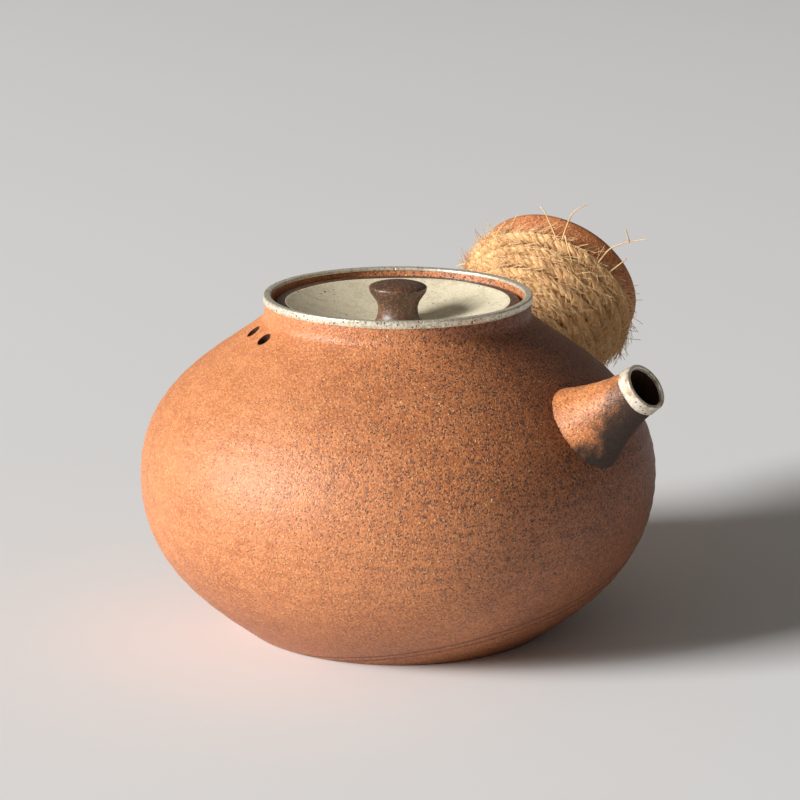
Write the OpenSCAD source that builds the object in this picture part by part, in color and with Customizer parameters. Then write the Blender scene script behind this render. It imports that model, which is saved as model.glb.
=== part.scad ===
// Clay teapot with a side handle: a thrown body, a luted spout and handle, a drop-in
// lid with a turned knob, glazed bands and a twine winding on the handle.
// Millimetres, +Z up, the origin in the middle of the foot, the spout along +X.

/* [Body] */
// Widest diameter of the belly
belly_d = 100; // [84:1:130]
// Height of the widest line above the table
belly_z = 30; // [24:0.5:36]
// Diameter of the flat foot
foot_d = 60; // [44:1:72]
// Rise of the wall where it leaves the foot, from level
foot_angle = 38.5; // [30:0.5:50]
// Reach of the lower curve at the foot
foot_pull = 9; // [4:0.1:12]
// Reach of the lower curve at the belly
low_pull = 16.8; // [10:0.1:22]
// Reach of the upper curve at the belly
high_pull = 17.5; // [10:0.1:22]
// Reach of the upper curve at the collar
shoulder_pull = 8; // [4:0.1:12]
// Slope of the shoulder where it meets the collar, from level
shoulder_angle = 44; // [30:0.5:55]
// Thickness of the thrown wall
wall = 3; // [2:0.1:4]
// Thickness of the floor
floor_t = 4; // [3:0.1:8]

/* [Mouth] */
// Inside diameter of the mouth above the lid seat
mouth_d = 48.8; // [42:0.1:56]
// Thickness of the collar's clay
collar_t = 1.25; // [1:0.05:2.5]
// Height of the lip's crest above the table, glaze included
rim_z = 65; // [63:0.5:80]
// Height of the straight collar below the crest
collar_h = 3.4; // [2.8:0.1:8]
// Radius of the hollow between collar and shoulder
neck_fillet = 2.2; // [1:0.1:4]
// Depth of the lid seat below the crest
seat_depth = 4.4; // [3.9:0.1:5.6]
// Width of the lid seat
seat_w = 3.9; // [2.5:0.1:6]
// Thickness of the lid seat's inner edge
seat_t = 2.6; // [1.5:0.1:4]
// Height of the glazed band outside the mouth, below the round of the lip
mouth_band_h = 0.6; // [0.3:0.05:1.9]
// Thickness of the glaze
glaze_t = 0.2; // [0.2:0.05:0.6]

/* [Lid] */
// Clearance between the lid's edge and the mouth, on the radius
lid_gap = 0.95; // [0.5:0.05:1.5]
// Thickness of the lid's edge
lid_edge_t = 3; // [2:0.1:3.4]
// Diameter of the glazed dish
dish_d = 43.2; // [30:0.1:44]
// Depth of the glazed dish
dish_depth = 4.4; // [2:0.1:6]
// Thickness of the clay under the dish
lid_t = 2.2; // [2:0.1:4]
// Clearance between the lid's flange and the seat, on the radius
flange_gap = 0.5; // [0.3:0.05:1.5]
// Thickness of the lid's flange
flange_t = 2.6; // [1.5:0.1:4]
// Depth of the lid's flange below the seat
flange_h = 7; // [5:0.1:12]

/* [Knob] */
// Diameter of the knob's foot
knob_foot_d = 9.2; // [8:0.1:12]
// Diameter of the knob's waist
knob_waist_d = 7.6; // [5:0.1:9]
// Diameter of the knob's head
knob_head_d = 11.1; // [9:0.1:16]
// Height of the knob above the lid's clay
knob_h = 8.1; // [6:0.1:14]
// Height of the knob's waist above the lid's clay
knob_waist_h = 2.8; // [1.5:0.1:4]
// Height of the knob's crown above the widest line of its head
knob_crown_h = 1.3; // [0.7:0.1:2.8]

/* [Spout] */
// Height on the wall where the spout's axis comes out
spout_root_z = 45.5; // [40:0.1:50]
// Length of the spout along its axis, from the wall to the tip
spout_len = 15.1; // [9:0.1:30]
// Rise of the spout, from level
spout_tilt = 37.2; // [25:0.1:50]
// Diameter of the spout's clay at the tip
spout_tip_d = 8.9; // [8.4:0.1:14]
// Diameter of the spout's flared root
spout_root_d = 18.9; // [14:0.1:22]
// Diameter of the spout's bore
spout_bore_d = 7.6; // [4:0.1:7.8]
// Length of the straight bore
spout_bore_len = 8; // [4:0.1:9]
// Width of the glazed band on the tip
spout_band_w = 2.2; // [1.5:0.1:5]
// Diameter of each strainer hole in the wall
strain_d = 2.2; // [1:0.1:2.6]
// Spacing of the strainer holes
strain_step = 3.3; // [3.2:0.1:3.5]
// Room round the strainer holes where the spout meets the wall
strain_room = 0.4; // [0.2:0.05:0.6]

/* [Vents] */
// Diameter of the two vent holes
vent_d = 2.8; // [1.5:0.1:4]
// Distance of the vents from the collar, on the radius
vent_out = 2.4; // [2:0.1:8]
// Turn of the middle of the two vents from the spout
vent_turn = -125; // [-180:1:-60]
// Angle between the two vents
vent_step = 14.8; // [10:0.1:30]

/* [Handle] */
// Turn of the handle from the spout
handle_turn = 98.3; // [75:0.1:110]
// Rise of the handle, from level
handle_tilt = 29.2; // [8:0.1:35]
// Height on the wall where the handle's axis comes out
handle_root_z = 40.5; // [36:0.1:46]
// Length of the handle along its axis, from the wall to the end
handle_len = 29.5; // [26:0.1:80]
// Diameter of the handle's clay at the wall
handle_root_d = 22; // [18:0.1:30]
// Diameter of the handle's clay at the end
handle_end_d = 35.7; // [24:0.1:40]
// Thickness of the handle's wall
handle_wall = 3.8; // [2.5:0.1:5]

/* [Winding] */
// Diameter of the twine
twine_d = 2.3; // [1.8:0.1:4]
// Gap between neighbouring turns
twine_gap = 0.45; // [0.45:0.05:1]
// Clearance under the twine
twine_lift = 0.3; // [0.2:0.05:0.6]
// Bare clay between the wall and the first turn
wrap_root_gap = 0.6; // [0.4:0.1:6]
// Bare clay between the last turn and the handle's end
wrap_end_gap = 4.5; // [2.2:0.1:12]
// Where the first turn starts round the handle, from its underside
wrap_start = 143; // [0:1:359]

/* [Hidden] */
$fn = 96;

// Steps along each curved outline
curve_steps = 16;
// Steps along each small rounding
round_steps = 6;
// Run of a cutter past the face that it cuts
past = 1;
// Share of the lip's half round that the glaze covers
lip_coat_share = 5 / 6;

mouth_r = mouth_d / 2;
collar_r = mouth_r + collar_t;
collar_z = rim_z - collar_h;
seat_z = rim_z - seat_depth;
seat_r = mouth_r - seat_w;
lip_r = collar_t / 2;
lip_mid_r = mouth_r + lip_r;
lip_mid_z = rim_z - glaze_t - lip_r;
neck_turn = 90 - shoulder_angle;

// A point on a cubic curve, and the way it runs there
function curve(c, t) =
    pow(1 - t, 3) * c[0] + 3 * pow(1 - t, 2) * t * c[1]
    + 3 * (1 - t) * t * t * c[2] + pow(t, 3) * c[3];
function curve_run(c, t) =
    3 * pow(1 - t, 2) * (c[1] - c[0]) + 6 * (1 - t) * t * (c[2] - c[1]) + 3 * t * t * (c[3] - c[2]);
function unit(v) = v / norm(v);
// The way out of the wall on a curve that climbs
function curve_out(c, t) =
    let (run = unit(curve_run(c, t))) [run[1], -run[0]];
// The point under the wall's thickness
function curve_in(c, t) = curve(c, t) - wall * curve_out(c, t);
// Where a climbing or closing value reaches a goal, halving the stretch each time
function seek(values, goal, low = 0, high = 1, left = 30) =
    left == 0 ? (low + high) / 2
    : let (mid = (low + high) / 2)
        values(mid) < goal ? seek(values, goal, mid, high, left - 1) : seek(values, goal, low, mid, left - 1);

// The outline of the thrown wall, from the foot to the belly and on to the collar
neck_end = [
    collar_r + neck_fillet * (1 - cos(neck_turn)),
    collar_z - neck_fillet * sin(neck_turn)
];
lower = [
    [foot_d / 2, 0],
    [foot_d / 2 + foot_pull * cos(foot_angle), foot_pull * sin(foot_angle)],
    [belly_d / 2, belly_z - low_pull],
    [belly_d / 2, belly_z]
];
upper = [
    [belly_d / 2, belly_z],
    [belly_d / 2, belly_z + high_pull],
    neck_end + shoulder_pull * [cos(shoulder_angle), -sin(shoulder_angle)],
    neck_end
];
// Radius of the belly's outside at a height on the upper curve
function upper_at(z) = seek(function (t) curve(upper, t)[1], z);
function wall_r(z) = curve(upper, upper_at(z))[0];
floor_at = seek(function (t) curve_in(lower, t)[1], floor_t);

function arc(mid, r, from, to, steps) = [
    for (i = [0:steps])
        let (a = from + (to - from) * i / steps)
            mid + r * [cos(a), sin(a)]
];

outside = concat(
    [for (i = [0:curve_steps]) curve(lower, i / curve_steps)],
    [for (i = [1:curve_steps - 1]) curve(upper, i / curve_steps)],
    arc([collar_r + neck_fillet, collar_z], neck_fillet, 180 + neck_turn, 180, round_steps)
);
lip = arc([lip_mid_r, lip_mid_z], lip_r, 0, 180, 2 * round_steps);
inside = concat(
    [[mouth_r, seat_z], [seat_r, seat_z], [seat_r, seat_z - seat_t]],
    [for (i = [curve_steps:-1:1]) curve_in(upper, i / curve_steps)],
    [for (i = [curve_steps:-1:0]) curve_in(lower, floor_at + (1 - floor_at) * i / curve_steps)],
    [[0, floor_t]]
);

// The body as if it were full, which trims what is luted on
module full_body() {
    rotate_extrude()
        polygon(concat([[0, 0]], outside, [[collar_r, rim_z], [0, rim_z]]));
}

// The spout's frame: +Z runs out along its axis, with zero on the wall
module on_spout() {
    translate([wall_r(spout_root_z), 0, spout_root_z])
        rotate([0, 90 - spout_tilt, 0])
            children();
}

// The handle's frame: +Z runs out along its axis, with zero on the wall
module on_handle() {
    rotate([0, 0, handle_turn])
        translate([wall_r(handle_root_z), 0, handle_root_z])
            rotate([0, 90 - handle_tilt, 0])
                children();
}

// The vent's place and slope on the shoulder
vent_at = seek(function (t) -curve(upper, t)[0], -(collar_r + vent_out));
vent_place = curve(upper, vent_at);
vent_way = curve_out(upper, vent_at);

module vent_cut() {
    for (side = [-1, 1])
        rotate([0, 0, vent_turn + side * vent_step / 2])
            translate([vent_place[0], 0, vent_place[1]])
                rotate([0, atan2(vent_way[0], vent_way[1]), 0])
                    cylinder(d = vent_d, h = 4 * wall, center = true);
}

module strain_cut() {
    on_spout() {
        cylinder(d = strain_d, h = 6 * wall, center = true);
        for (i = [0:5])
            rotate([0, 0, 60 * i])
                translate([strain_step, 0, 0])
                    cylinder(d = strain_d, h = 6 * wall, center = true);
    }
}

module pot_body() {
    color("peru")
        difference() {
            rotate_extrude()
                polygon(concat([[0, 0]], outside, lip, inside));
            vent_cut();
            strain_cut();
        }
}

// The spout's outline, from the tip back to a root inside the wall
spout_sink = spout_root_d / 2;
spout_flare = 1.75;
spout_tip_r = spout_tip_d / 2;
spout_bore_r = spout_bore_d / 2;
spout_clay_end = spout_len - glaze_t;
spout_run = spout_clay_end + spout_sink;
// Bore at the wall, wide enough for the strainer holes
spout_throat_r = strain_step + strain_d / 2 + strain_room;
function spout_r(back) =
    spout_tip_r + (spout_root_d / 2 - spout_tip_r) * pow(back / (spout_len + wall), spout_flare);
function spout_point(back) = [spout_r(back), spout_clay_end - back];
// The clay under the glazed band, which the glaze shares point for point
spout_band_line = [
    for (i = [round_steps:-1:0])
        spout_point(spout_band_w * i / round_steps)
];
spout_bare_line = [
    for (i = [curve_steps:-1:1])
        spout_point(spout_band_w + (spout_run - spout_band_w) * i / curve_steps)
];

module spout() {
    color("sienna")
        difference() {
            on_spout()
                difference() {
                    rotate_extrude()
                        polygon(concat(
                            [[0, -spout_sink]],
                            spout_bare_line,
                            spout_band_line,
                            [[0, spout_clay_end]]
                        ));
                    rotate_extrude()
                        polygon([
                            [0, -spout_sink - past],
                            [2 * spout_throat_r - spout_bore_r, -spout_sink - past],
                            [spout_bore_r, spout_len - spout_bore_len],
                            [spout_bore_r, spout_len + past],
                            [0, spout_len + past]
                        ]);
                }
            full_body();
        }
}

module spout_glaze() {
    color("silver")
        on_spout()
            rotate_extrude()
                polygon(concat(
                    spout_band_line,
                    [[spout_bore_r, spout_clay_end]],
                    [[spout_bore_r, spout_clay_end + glaze_t / 2]],
                    [[spout_bore_r + glaze_t / 2, spout_len]],
                    [[spout_tip_r, spout_len]],
                    [for (i = [round_steps:-1:0])
                        spout_band_line[i] + [glaze_t, 0]]
                ));
}

// The glaze runs over the lip and part of the way down inside, on the lip's own points
lip_coat = round(lip_coat_share * 2 * round_steps);
mouth_band_z = lip_mid_z - mouth_band_h;

module mouth_glaze() {
    color("silver")
        rotate_extrude()
            polygon(concat(
                [[collar_r, mouth_band_z]],
                [[collar_r + glaze_t, mouth_band_z]],
                arc([lip_mid_r, lip_mid_z], lip_r + glaze_t, 0, 90 * lip_coat / round_steps, lip_coat),
                [for (i = [lip_coat:-1:0]) lip[i]]
            ));
}

// The handle's outline grows from the wall to the end, where the lip is round
handle_end_r = handle_end_d / 2;
handle_lip_r = handle_wall / 2;
handle_sink = handle_root_d / 2;
handle_flare = 1.6;
function handle_r(out) =
    handle_root_d / 2
    + (handle_end_r - handle_root_d / 2) * pow(max(0, out) / (handle_len - handle_lip_r), handle_flare);
handle_outline = concat(
    [[handle_r(0), -handle_sink]],
    [for (i = [0:curve_steps])
        let (out = (handle_len - handle_lip_r) * i / curve_steps)
            [handle_r(out), out]]
);

module handle() {
    color("sienna")
        difference() {
            on_handle()
                rotate_extrude()
                    polygon(concat(
                        handle_outline,
                        arc(
                            [handle_end_r - handle_lip_r, handle_len - handle_lip_r],
                            handle_lip_r, 0, 180, 2 * round_steps
                        ),
                        [for (i = [len(handle_outline) - 2:-1:0])
                            handle_outline[i] - [handle_wall, 0]]
                    ));
            full_body();
        }
}

// The winding: one tube round the handle, a fixed step on for each turn
loop_rings = 24;
tube_sides = 6;
wrap_step = twine_d + twine_gap;
wrap_from = wrap_root_gap + twine_d / 2;
wrap_to = handle_len - wrap_end_gap - twine_d / 2;
wrap_turns = (wrap_to - wrap_from) / wrap_step;
wrap_rings = ceil(wrap_turns * loop_rings);
function wrap_mid(turn) =
    let (
        out = wrap_from + wrap_step * turn,
        r = handle_r(out) + twine_lift + twine_d / 2,
        a = wrap_start + 360 * turn
    )
        [r * cos(a), r * sin(a), out];
turn_bit = 0.001;
function wrap_way(turn) = unit(wrap_mid(turn + turn_bit) - wrap_mid(turn - turn_bit));
function tube_ring(mid, way) =
    let (side = unit(cross(way, [0, 0, 1])), rise = cross(side, way))
        [for (i = [0:tube_sides - 1])
            let (a = 360 * (i + 0.5) / tube_sides)
                mid + twine_d / 2 * (cos(a) * side + sin(a) * rise)];
wrap_loops = [
    for (i = [0:wrap_rings])
        let (turn = wrap_turns * i / wrap_rings)
            tube_ring(wrap_mid(turn), wrap_way(turn))
];
wrap_tail = tube_ring(wrap_mid(0) - twine_d * wrap_way(0), wrap_way(0));
wrap_head = tube_ring(wrap_mid(wrap_turns) + twine_d * wrap_way(wrap_turns), wrap_way(wrap_turns));
wrap_tube = concat([wrap_tail], wrap_loops, [wrap_head]);
wrap_points = [for (ring = wrap_tube) for (p = ring) p];
wrap_last = len(wrap_tube) - 1;
function ring_point(ring, side) = ring * tube_sides + side % tube_sides;
wrap_faces = concat(
    [for (ring = [0:wrap_last - 1]) for (side = [0:tube_sides - 1])
        [ring_point(ring, side), ring_point(ring, side + 1), ring_point(ring + 1, side + 1)]],
    [for (ring = [0:wrap_last - 1]) for (side = [0:tube_sides - 1])
        [ring_point(ring, side), ring_point(ring + 1, side + 1), ring_point(ring + 1, side)]],
    [for (side = [1:tube_sides - 2])
        [ring_point(0, 0), ring_point(0, side + 1), ring_point(0, side)]],
    [for (side = [1:tube_sides - 2])
        [ring_point(wrap_last, 0), ring_point(wrap_last, side), ring_point(wrap_last, side + 1)]]
);
// The least gap between one turn and the next, from point to point
wrap_gaps = [
    for (ring = [0:wrap_last - loop_rings + 2])
        for (next = [ring + loop_rings - 3:min(wrap_last, ring + loop_rings + 3)])
            for (a = wrap_tube[ring])
                for (b = wrap_tube[next])
                    norm(a - b)
];
echo(least_gap = min(wrap_gaps), turns = wrap_turns);

module handle_wrap() {
    color("tan")
        on_handle()
            polyhedron(points = wrap_points, faces = wrap_faces);
}

// The lid's dish is part of a ball, and the knob stands on a level pad in it
dish_r = dish_d / 2;
lid_r = mouth_r - lid_gap;
lid_top_z = seat_z + lid_edge_t;
dish_ball = (dish_r * dish_r + dish_depth * dish_depth) / (2 * dish_depth);
dish_mid_z = lid_top_z - dish_depth + dish_ball;
knob_foot_r = knob_foot_d / 2;
flange_r = seat_r - flange_gap;
flange_in_r = flange_r - flange_t;
// Height of the dish, or of a layer this far below it, at a radius
function dish_z(r, below) = dish_mid_z - sqrt(pow(dish_ball + below, 2) - r * r);
function dish_line(from, to, below) = [
    for (i = [0:curve_steps])
        let (r = from + (to - from) * i / curve_steps)
            [r, dish_z(r, below)]
];
knob_z = dish_z(knob_foot_r, glaze_t);
lid_round = 0.5;

module lid() {
    color("saddlebrown")
        rotate_extrude()
            polygon(concat(
                [[0, knob_z]],
                dish_line(knob_foot_r, dish_r, glaze_t),
                [[dish_r, lid_top_z]],
                arc([lid_r - lid_round, lid_top_z - lid_round], lid_round, 90, 0, round_steps),
                [[lid_r, seat_z], [flange_r, seat_z], [flange_r, seat_z - flange_h]],
                [[flange_in_r, seat_z - flange_h]],
                dish_line(flange_in_r, 0, glaze_t + lid_t)
            ));
}

module lid_glaze() {
    color("silver")
        rotate_extrude()
            polygon(concat(
                dish_line(knob_foot_r, dish_r, glaze_t),
                dish_line(dish_r, knob_foot_r, 0)
            ));
}

// The knob's outline, from its foot past the waist to the head's crown
knob_head_h = knob_h - knob_crown_h;
knob_waist = [knob_waist_d / 2, knob_waist_h];
knob_head = [knob_head_d / 2, knob_head_h];
knob_crown = [knob_head_d / 2 - 1.3, knob_h - 0.3];
knob_low = [
    [knob_foot_r, 0],
    [knob_waist[0], knob_waist_h / 3],
    [knob_waist[0], knob_waist_h * 2 / 3],
    knob_waist
];
knob_neck = [
    knob_waist,
    [knob_waist[0], (knob_waist_h + knob_head_h) / 2],
    [knob_head[0], (knob_waist_h + 2 * knob_head_h) / 3],
    knob_head
];
knob_edge = [
    knob_head,
    [knob_head[0], (knob_head_h + knob_crown[1]) / 2],
    [(knob_head[0] + knob_crown[0]) / 2, knob_crown[1]],
    knob_crown
];

module lid_knob() {
    color("saddlebrown")
        translate([0, 0, knob_z])
            rotate_extrude()
                polygon(concat(
                    [[0, 0]],
                    [for (i = [0:round_steps]) curve(knob_low, i / round_steps)],
                    [for (i = [1:round_steps]) curve(knob_neck, i / round_steps)],
                    [for (i = [1:round_steps]) curve(knob_edge, i / round_steps)],
                    [[0, knob_h]]
                ));
}

pot_body();
spout();
handle();
handle_wrap();
mouth_glaze();
spout_glaze();
lid();
lid_knob();
lid_glaze();
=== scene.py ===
"""Looks of a clay teapot with a twine-wound side handle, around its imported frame.

Outlines are in millimetres and become metres when a mesh is made. The spout points along +X.
"""

from math import atan2, cos, degrees, exp, hypot, pi, radians, sin, sqrt

import bmesh
import bpy
from mathutils import Matrix, Vector


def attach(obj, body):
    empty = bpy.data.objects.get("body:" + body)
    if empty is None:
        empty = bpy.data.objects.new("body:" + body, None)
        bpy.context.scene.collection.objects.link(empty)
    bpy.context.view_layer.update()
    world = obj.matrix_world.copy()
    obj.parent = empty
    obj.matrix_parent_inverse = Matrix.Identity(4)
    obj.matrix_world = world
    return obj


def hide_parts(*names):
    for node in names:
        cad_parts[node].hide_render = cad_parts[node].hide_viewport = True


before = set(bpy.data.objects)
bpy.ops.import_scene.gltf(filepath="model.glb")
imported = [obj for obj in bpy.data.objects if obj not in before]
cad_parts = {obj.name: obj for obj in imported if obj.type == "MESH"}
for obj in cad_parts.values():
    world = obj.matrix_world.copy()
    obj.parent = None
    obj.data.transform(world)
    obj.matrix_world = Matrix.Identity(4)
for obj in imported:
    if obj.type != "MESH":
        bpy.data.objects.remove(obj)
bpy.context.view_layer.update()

MM = 0.001

# Sizes of the thrown body
BELLY_R = 50.0
BELLY_Z = 30.0
FOOT_R = 30.0
FOOT_ANGLE = radians(38.5)
FOOT_PULL = 9.0
LOW_PULL = 16.8
HIGH_PULL = 17.5
SHOULDER_PULL = 8.0
SHOULDER_ANGLE = radians(44.0)
WALL = 3.0
FLOOR_T = 4.0
MOUTH_R = 24.4
COLLAR_T = 1.25
COLLAR_R = MOUTH_R + COLLAR_T
RIM_Z = 65.0
COLLAR_Z = RIM_Z - 3.4
NECK_FILLET = 2.2
NECK_TURN = radians(90.0) - SHOULDER_ANGLE
SEAT_Z = RIM_Z - 4.4
SEAT_R = MOUTH_R - 3.9
SEAT_T = 2.6
GLAZE_T = 0.2
LIP_R = COLLAR_T / 2
LIP_MID = (MOUTH_R + LIP_R, RIM_Z - GLAZE_T - LIP_R)
MOUTH_BAND_Z = LIP_MID[1] - 0.6

# Sizes of the lid and its knob
LID_R = MOUTH_R - 0.95
LID_TOP_Z = SEAT_Z + 3.0
DISH_R = 21.6
DISH_DEPTH = 4.4
DISH_BALL = (DISH_R ** 2 + DISH_DEPTH ** 2) / (2 * DISH_DEPTH)
DISH_MID_Z = LID_TOP_Z - DISH_DEPTH + DISH_BALL
LID_T = 2.2
FLANGE_R = SEAT_R - 0.5
FLANGE_IN_R = FLANGE_R - 2.6
FLANGE_Z = SEAT_Z - 7.0
KNOB_FOOT_R = 4.6
KNOB_WAIST_R = 3.8
KNOB_HEAD_R = 5.55
KNOB_H = 8.1
KNOB_WAIST_H = 2.8
KNOB_HEAD_H = KNOB_H - 1.3

# Sizes of the spout
SPOUT_ROOT_Z = 45.5
SPOUT_LEN = 15.1
SPOUT_TILT = radians(37.2)
SPOUT_TIP_R = 4.45
SPOUT_ROOT_R = 9.45
SPOUT_BORE_R = 3.8
SPOUT_BORE_LEN = 8.0
SPOUT_BAND_W = 2.2
SPOUT_FLARE = 1.75
STRAIN_R = 1.1
STRAIN_STEP = 3.3
VENT_R = 1.4
VENT_OUT = 2.4
VENT_TURN = -125.0
VENT_STEP = 14.8

# Sizes of the handle and its winding
HANDLE_TURN = radians(98.3)
HANDLE_TILT = radians(29.2)
HANDLE_ROOT_Z = 40.5
HANDLE_LEN = 29.5
HANDLE_ROOT_R = 11.0
HANDLE_END_R = 17.85
HANDLE_WALL = 3.8
HANDLE_FLARE = 1.6
WRAP_FROM = 1.75
WRAP_TO = 23.85
WRAP_START = radians(143.0)
WRAP_STEP = 2.75
PLY_R = 0.72
PLY_OFF = 0.66
TWINE_R = PLY_R + PLY_OFF

# The photograph's view
VIEW_TURN = radians(36.5)
VIEW_PITCH = radians(13.94)
VIEW_REACH = 0.5633
VIEW_HEIGHT = 0.1836
VIEW_LENS = 135.0
VIEW_SENSOR = 36.0
VIEW_SHIFT = 0.0004

# The floor and the light, in metres and watts
FLOOR_HALF = 4.0
LAMP_PLACE = (-5.06, -2.25, 2.36)
LAMP_AIM_Z = 0.035
LAMP_SIZE = 2.2
LAMP_POWER = 570.0
WORLD_COLOUR = (1.0, 0.95, 0.89, 1.0)
WORLD_STRENGTH = 0.14

# Points nearer than this are merged, in metres, and edges sharper than these stay sharp, in degrees
MERGE = 1e-7
TURNED_EDGE = 50.0
TUBE_EDGE = 80.0


def curve(c, t):
    """A point on a cubic curve of four (radius, height) pairs."""
    s = 1 - t
    weights = (s ** 3, 3 * s * s * t, 3 * s * t * t, t ** 3)
    return tuple(sum(w * p[i] for w, p in zip(weights, c)) for i in range(2))


def curve_out(c, t):
    """The way out of the wall on a curve that climbs."""
    s = 1 - t
    weights = (3 * s * s, 6 * s * t, 3 * t * t)
    run = [sum(w * (c[k + 1][i] - c[k][i]) for k, w in enumerate(weights)) for i in range(2)]
    long = hypot(*run)
    return run[1] / long, -run[0] / long


def curve_in(c, t):
    """The point on the wall's inside."""
    p = curve(c, t)
    out = curve_out(c, t)
    return p[0] - WALL * out[0], p[1] - WALL * out[1]


def seek(value, goal, low=0.0, high=1.0):
    """Where a growing value reaches a goal."""
    for _ in range(40):
        mid = (low + high) / 2
        if value(mid) < goal:
            low = mid
        else:
            high = mid
    return (low + high) / 2


NECK_END = (
    COLLAR_R + NECK_FILLET * (1 - cos(NECK_TURN)),
    COLLAR_Z - NECK_FILLET * sin(NECK_TURN),
)
LOWER = (
    (FOOT_R, 0.0),
    (FOOT_R + FOOT_PULL * cos(FOOT_ANGLE), FOOT_PULL * sin(FOOT_ANGLE)),
    (BELLY_R, BELLY_Z - LOW_PULL),
    (BELLY_R, BELLY_Z),
)
UPPER = (
    (BELLY_R, BELLY_Z),
    (BELLY_R, BELLY_Z + HIGH_PULL),
    (
        NECK_END[0] + SHOULDER_PULL * cos(SHOULDER_ANGLE),
        NECK_END[1] - SHOULDER_PULL * sin(SHOULDER_ANGLE),
    ),
    NECK_END,
)


def wall_r(z):
    """Radius of the body's outside at a height."""
    side = LOWER if z < BELLY_Z else UPPER
    return curve(side, seek(lambda u: curve(side, u)[1], z))[0]


def even(start, end, steps):
    """Even steps from one value to another, with both ends."""
    return [start + (end - start) * i / steps for i in range(steps + 1)]


def arc(mid, r, start, end, steps):
    """Points on a round from one angle to another, in degrees."""
    angles = [radians(angle) for angle in even(start, end, steps)]
    return [(mid[0] + r * cos(a), mid[1] + r * sin(a)) for a in angles]


def on_wall(turn, z, tilt):
    """The frame of a luted piece: +Z runs out along its axis, with zero on the wall."""
    out = Matrix.Rotation(turn, 4, "Z")
    place = Matrix.Translation((wall_r(z), 0, z))
    rise = Matrix.Rotation(pi / 2 - tilt, 4, "Y")
    return out @ place @ rise


ON_SPOUT = on_wall(0.0, SPOUT_ROOT_Z, SPOUT_TILT)
ON_HANDLE = on_wall(HANDLE_TURN, HANDLE_ROOT_Z, HANDLE_TILT)
UPRIGHT = Matrix.Identity(4)


def around(place, r, angle, run):
    """A point at a radius, an angle and a run along the axis of a frame."""
    return place @ Vector((r * cos(angle), r * sin(angle), run))


def z_way(place):
    """The way of a frame's axis."""
    return place.to_3x3() @ Vector((0.0, 0.0, 1.0))


def waves(turn, parts):
    """A sum of sine waves, each a depth, a rate and a shift."""
    return sum(depth * sin(rate * turn + shift) for depth, rate, shift in parts)


def put(name, data):
    """A new object at the origin, in the scene."""
    made = bpy.data.objects.new(name, data)
    bpy.context.scene.collection.objects.link(made)
    return made


def plain_object(name, mesh, material):
    """An object at the origin with a mesh of one material."""
    mesh.materials.append(material)
    return put(name, mesh)


def shade(mesh, sharp):
    """Shades a mesh smooth but for edges sharper than an angle in degrees."""
    mesh.shade_smooth()
    mesh.set_sharp_from_angle(angle=radians(sharp))


def build_mesh(name, verts, faces, sharp):
    """A shaded mesh with doubles merged, faces without area dropped and the others turned outwards."""
    mesh = bpy.data.meshes.new(name)
    mesh.from_pydata(verts, [], faces)
    work = bmesh.new()
    work.from_mesh(mesh)
    bmesh.ops.remove_doubles(work, verts=work.verts, dist=MERGE)
    bmesh.ops.dissolve_degenerate(work, edges=work.edges, dist=MERGE / 10)
    bmesh.ops.recalc_face_normals(work, faces=work.faces)
    work.to_mesh(mesh)
    work.free()
    shade(mesh, sharp)
    return mesh


def grid_faces(rings, rows, ring_steps, row_steps, first=0):
    """Faces between rings of points. Where there are as many steps as points, the grid closes."""
    faces = []
    for i in range(ring_steps):
        here = first + i * rows
        there = first + (i + 1) % rings * rows
        for k in range(row_steps):
            up = (k + 1) % rows
            faces.append((here + k, there + k, there + up, here + up))
    return faces


def lathe(name, outline, material, segments, place=UPRIGHT, ring=False):
    """Turns an outline(angle) of (radius, height) pairs. A ring's outline closes on itself."""
    rows = len(outline(0.0))
    verts = []
    for i in range(segments):
        angle = 2 * pi * i / segments
        verts += [around(place, r, angle, z) * MM for r, z in outline(angle)]
    faces = grid_faces(segments, rows, segments, rows if ring else rows - 1)
    return plain_object(name, build_mesh(name, verts, faces, TURNED_EDGE), material)


def tube_mesh(name, lines, sides, closed=False):
    """Tubes along lines of (point, radius) pairs, in millimetres."""
    verts = []
    faces = []
    for line in lines:
        first = len(verts)
        count = len(line)
        side = None
        for i, (point, r) in enumerate(line):
            before = line[i - 1][0] if closed or i > 0 else point
            after = line[(i + 1) % count][0] if closed or i < count - 1 else point
            way = (after - before).normalized()
            if side is None:
                side = way.orthogonal().normalized()
            side = (side - way * side.dot(way)).normalized()
            rise = way.cross(side)
            for k in range(sides):
                a = 2 * pi * k / sides
                verts.append((point + r * (cos(a) * side + sin(a) * rise)) * MM)
        faces += grid_faces(count, sides, count if closed else count - 1, sides, first)
        if not closed:
            faces.append(tuple(first + k for k in reversed(range(sides))))
            faces.append(tuple(first + (count - 1) * sides + k for k in range(sides)))
    return build_mesh(name, verts, faces, TUBE_EDGE)


def vent_places():
    """The frames of the two vents, square to the shoulder."""
    at = seek(lambda u: -curve(UPPER, u)[0], -(COLLAR_R + VENT_OUT))
    r, z = curve(UPPER, at)
    out = curve_out(UPPER, at)
    lean = Matrix.Rotation(atan2(out[0], out[1]), 4, "Y")
    turns = [radians(VENT_TURN + side * VENT_STEP / 2) for side in (-1, 1)]
    return [Matrix.Rotation(turn, 4, "Z") @ Matrix.Translation((r, 0, z)) @ lean for turn in turns]


# Node helpers

def is_socket(value):
    """Whether a value comes from another node."""
    return isinstance(value, bpy.types.NodeSocket)


def feed(node, values):
    """Feeds a node's inputs, by name or number, from other sockets or plain values."""
    for label, value in values.items():
        if is_socket(value):
            node.id_data.links.new(value, node.inputs[label])
        else:
            node.inputs[label].default_value = value


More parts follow.
